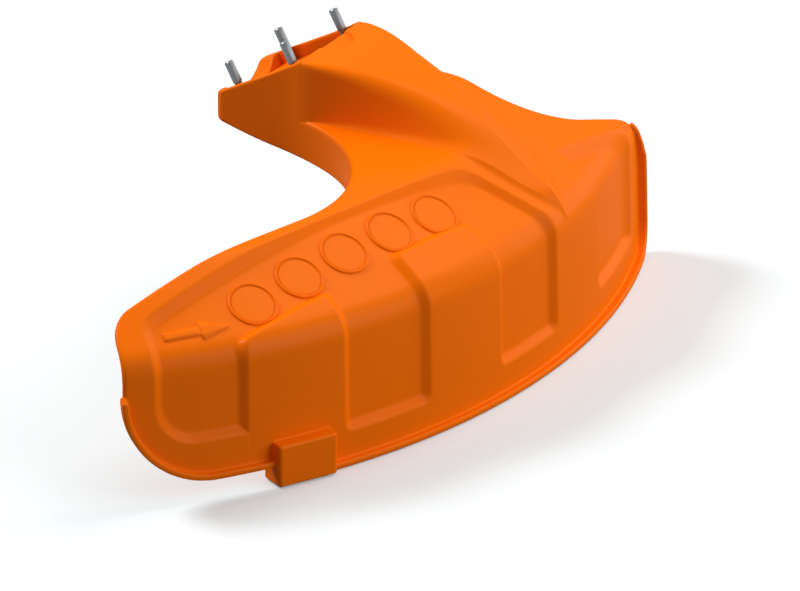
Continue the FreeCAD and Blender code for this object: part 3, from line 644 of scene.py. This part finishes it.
# Plain raised arrow in the long wing: a shaft and a head
ARROW_DEGREES, ARROW_RADIUS, ARROW_HEIGHT = 35.2, 353.6, 0.6
ARROW_SHAFT, ARROW_HEAD = 2.6, 6.0
ARROW_TAIL, ARROW_STEP, ARROW_TIP = -18.5, 2.0, 18.0
ARROW_BEVEL, ARROW_POINTS, ARROW_ROOT = 0.25, 14, -0.3


def arrow_part(name, start, stop, start_half, stop_half):
    """Tapered strip with a bevelled edge all round."""
    spots = np.linspace(start, stop, ARROW_POINTS)
    halves = np.linspace(start_half, stop_half, ARROW_POINTS)
    spots = np.concatenate([[start - ARROW_BEVEL], spots, [stop + ARROW_BEVEL]])
    halves = np.concatenate([[start_half], halves, [stop_half]])
    along, outwards, lift = [], [], []
    for i, (spot, half) in enumerate(zip(spots, halves)):
        across = [-half - ARROW_BEVEL, -half, -half / 3, half / 3, half, half + ARROW_BEVEL]
        edge = i in (0, len(spots) - 1)
        along.append([spot] * 6)
        outwards.append(across)
        lift.append([ARROW_ROOT if edge or k in (0, 5) else ARROW_HEIGHT for k in range(6)])
    return raised(name, ARROW_DEGREES, ARROW_RADIUS, along, outwards, lift, False)


arrow_part("arrow_shaft", ARROW_TAIL, ARROW_STEP, ARROW_SHAFT, ARROW_SHAFT)
arrow_part("arrow_head", ARROW_STEP, ARROW_TIP, ARROW_HEAD, 0.1)

# Screws: turned from their half outline, on the seat's tilted axes
THREAD_RADIUS, WAIST_RADIUS, THREAD_START, STANDING, TIP_CHAMFER = 2.5, 2.0, 7.6, 19.48, 0.6
HEAD_RADIUS, HEAD_HEIGHT, SOCKET_RADIUS, SOCKET_DEPTH = 4.25, 5.0, 2.3, 2.5
UNDER_BOSS = -(SEAT_PLATE + BOSS_DEPTH)
HALF_OUTLINE = [
    # radius, height above the seat, from the socket's floor to the middle of the tip
    (0.0, UNDER_BOSS - HEAD_HEIGHT + SOCKET_DEPTH),
    (SOCKET_RADIUS, UNDER_BOSS - HEAD_HEIGHT + SOCKET_DEPTH),
    (SOCKET_RADIUS, UNDER_BOSS - HEAD_HEIGHT),
    (HEAD_RADIUS - 0.3, UNDER_BOSS - HEAD_HEIGHT),
    (HEAD_RADIUS, UNDER_BOSS - HEAD_HEIGHT + 0.3),
    (HEAD_RADIUS, UNDER_BOSS),
    (WAIST_RADIUS, UNDER_BOSS),
    (WAIST_RADIUS, THREAD_START - 0.3),
    (THREAD_RADIUS, THREAD_START),
    (THREAD_RADIUS, STANDING - TIP_CHAMFER),
    (THREAD_RADIUS - 0.15, STANDING - TIP_CHAMFER + 0.25),
    (THREAD_RADIUS - TIP_CHAMFER, STANDING),
    (0.0, STANDING),
]
ROUND = 40


def turned_screw(across, along):
    """Points and quads of one screw."""
    forward = np.array([0.0, -math.cos(TILT), math.sin(TILT)])
    up = np.array([0.0, math.sin(TILT), math.cos(TILT)])
    side = np.array([1.0, 0.0, 0.0])
    points = []
    for radius, height in HALF_OUTLINE:
        for i in range(ROUND):
            a = 2 * math.pi * i / ROUND
            points.append(side * (across + radius * math.cos(a)) + forward * (along + radius * math.sin(a))
                          + up * height)
    faces = []
    for row in range(len(HALF_OUTLINE) - 1):
        for i in range(ROUND):
            j = (i + 1) % ROUND
            faces.append((row * ROUND + i, (row + 1) * ROUND + i, (row + 1) * ROUND + j, row * ROUND + j))
    return points, faces


for number, (across, along) in enumerate(
        [(x, f) for x in (-SCREW_X, SCREW_X) for f in (-SCREW_ALONG, SCREW_ALONG)], start=1):
    screw_points, screw_faces = turned_screw(across, along)
    screw = mesh_object("screw_%d" % number, screw_points, np.array(screw_faces), steel)
    tidy = bmesh.new()
    tidy.from_mesh(screw.data)
    bmesh.ops.remove_doubles(tidy, verts=tidy.verts, dist=0.02 * MM)
    bmesh.ops.recalc_face_normals(tidy, faces=tidy.faces)
    tidy.to_mesh(screw.data)
    tidy.free()
    screw.data.set_sharp_from_angle(angle=math.radians(35.0))
    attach(screw, "root")
    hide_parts("mounting_screws")

# Floor: white to the camera, and it keeps the guard's shadow
FLOOR_SIZE, FLOOR_GAP = 30.0, 0.0003   # metres
bpy.ops.mesh.primitive_plane_add(size=FLOOR_SIZE, location=(0.0, 0.0, RIM * MM - FLOOR_GAP))
floor = bpy.context.object
floor.name = "floor"
FLOOR_SEEN, FLOOR_UNSEEN, FLOOR_GLOW = (0.71, 0.765, 0.77), (0.18, 0.18, 0.18), 0.21


def seen_rays(nodes, links):
    """Output that is 1 for camera, glossy and transmission rays and 0 for the rest."""
    path = nodes.new("ShaderNodeLightPath")
    first, second = nodes.new("ShaderNodeMath"), nodes.new("ShaderNodeMath")
    first.operation = second.operation = "MAXIMUM"
    links.new(path.outputs["Is Camera Ray"], first.inputs[0])
    links.new(path.outputs["Is Glossy Ray"], first.inputs[1])
    links.new(first.outputs[0], second.inputs[0])
    links.new(path.outputs["Is Transmission Ray"], second.inputs[1])
    return second.outputs[0]


floor_material = plain_material("floor", FLOOR_SEEN, 0.9)
floor_nodes, floor_links = floor_material.node_tree.nodes, floor_material.node_tree.links
floor_shader = floor_nodes["Principled BSDF"]
floor_shader.inputs["Specular IOR Level"].default_value = 0.0
floor_seen = seen_rays(floor_nodes, floor_links)
floor_colour = floor_nodes.new("ShaderNodeMixRGB")
floor_colour.inputs["Color1"].default_value = (*FLOOR_UNSEEN, 1.0)
floor_colour.inputs["Color2"].default_value = (*FLOOR_SEEN, 1.0)
floor_glow = floor_nodes.new("ShaderNodeMath")
floor_glow.operation = "MULTIPLY"
floor_glow.inputs[1].default_value = FLOOR_GLOW
floor_links.new(floor_seen, floor_colour.inputs["Fac"])
floor_links.new(floor_colour.outputs["Color"], floor_shader.inputs["Base Color"])
floor_links.new(floor_seen, floor_glow.inputs[0])
floor_links.new(floor_glow.outputs[0], floor_shader.inputs["Emission Strength"])
floor_shader.inputs["Emission Color"].default_value = (1.0, 1.0, 1.0, 1.0)
floor.data.materials.append(floor_material)

# World: soft grey light, white where the camera or a reflection sees it
WORLD_UNSEEN = 0.21
world = bpy.data.worlds.new("studio")
bpy.context.scene.world = world
world.use_nodes = True
world_nodes, world_links = world.node_tree.nodes, world.node_tree.links
background = world_nodes["Background"]
background.inputs["Color"].default_value = (1.0, 1.0, 1.0, 1.0)
level = world_nodes.new("ShaderNodeMapRange")
level.inputs["To Min"].default_value = WORLD_UNSEEN
level.inputs["To Max"].default_value = 1.0
world_links.new(seen_rays(world_nodes, world_links), level.inputs["Value"])
world_links.new(level.outputs["Result"], background.inputs["Strength"])

# Camera: the photograph's view, from far away with a long lens
AZIMUTH, ELEVATION = math.radians(-58.5), math.radians(25.0)
back_axis = Vector((math.sin(AZIMUTH) * math.cos(ELEVATION), -math.cos(AZIMUTH) * math.cos(ELEVATION),
                    math.sin(ELEVATION)))
aim = Vector((-57.6, -98.9, -83.7)) * MM
FRAME_WIDTH = 416.0 * MM
LENS = 1200.0
SENSOR = 36.0
distance = FRAME_WIDTH * LENS / SENSOR
right_axis = Vector((0, 0, 1)).cross(back_axis).normalized()
up_axis = back_axis.cross(right_axis)
turn = Matrix((right_axis, up_axis, back_axis)).transposed().to_4x4()
camera_data = bpy.data.cameras.new("camera")
camera_data.lens = LENS
camera_data.sensor_width = SENSOR
camera_data.clip_end = 50.0
camera = bpy.data.objects.new("camera", camera_data)
camera.matrix_world = Matrix.Translation(aim + back_axis * distance) @ turn
bpy.context.scene.collection.objects.link(camera)
bpy.context.scene.camera = camera


def softbox(name, place, target, size, watts):
    """Square area light that faces target."""
    data = bpy.data.lights.new(name, "AREA")
    data.shape = "SQUARE"
    data.size = size
    data.energy = watts
    lamp = bpy.data.objects.new(name, data)
    lamp.location = place
    lamp.rotation_euler = (Vector(target) - Vector(place)).to_track_quat("-Z", "Y").to_euler()
    bpy.context.scene.collection.objects.link(lamp)


# Lamps: places in metres, size in metres and watts
GUARD_MIDDLE = (-0.08, -0.08, -0.05)
LAMPS = [
    ("back", (-0.45, 1.6, 1.65), 1.0, 48.0),
    ("right", (2.0, -1.1, 0.65), 1.6, 22.0),
    ("front", (0.0, -2.15, 0.85), 1.8, 24.0),
    ("top", (1.15, -0.5, 1.95), 1.3, 16.0),
]
for lamp_name, lamp_place, lamp_size, lamp_watts in LAMPS:
    softbox(lamp_name, lamp_place, GUARD_MIDDLE, lamp_size, lamp_watts)

bpy.context.scene.view_settings.view_transform = "Standard"
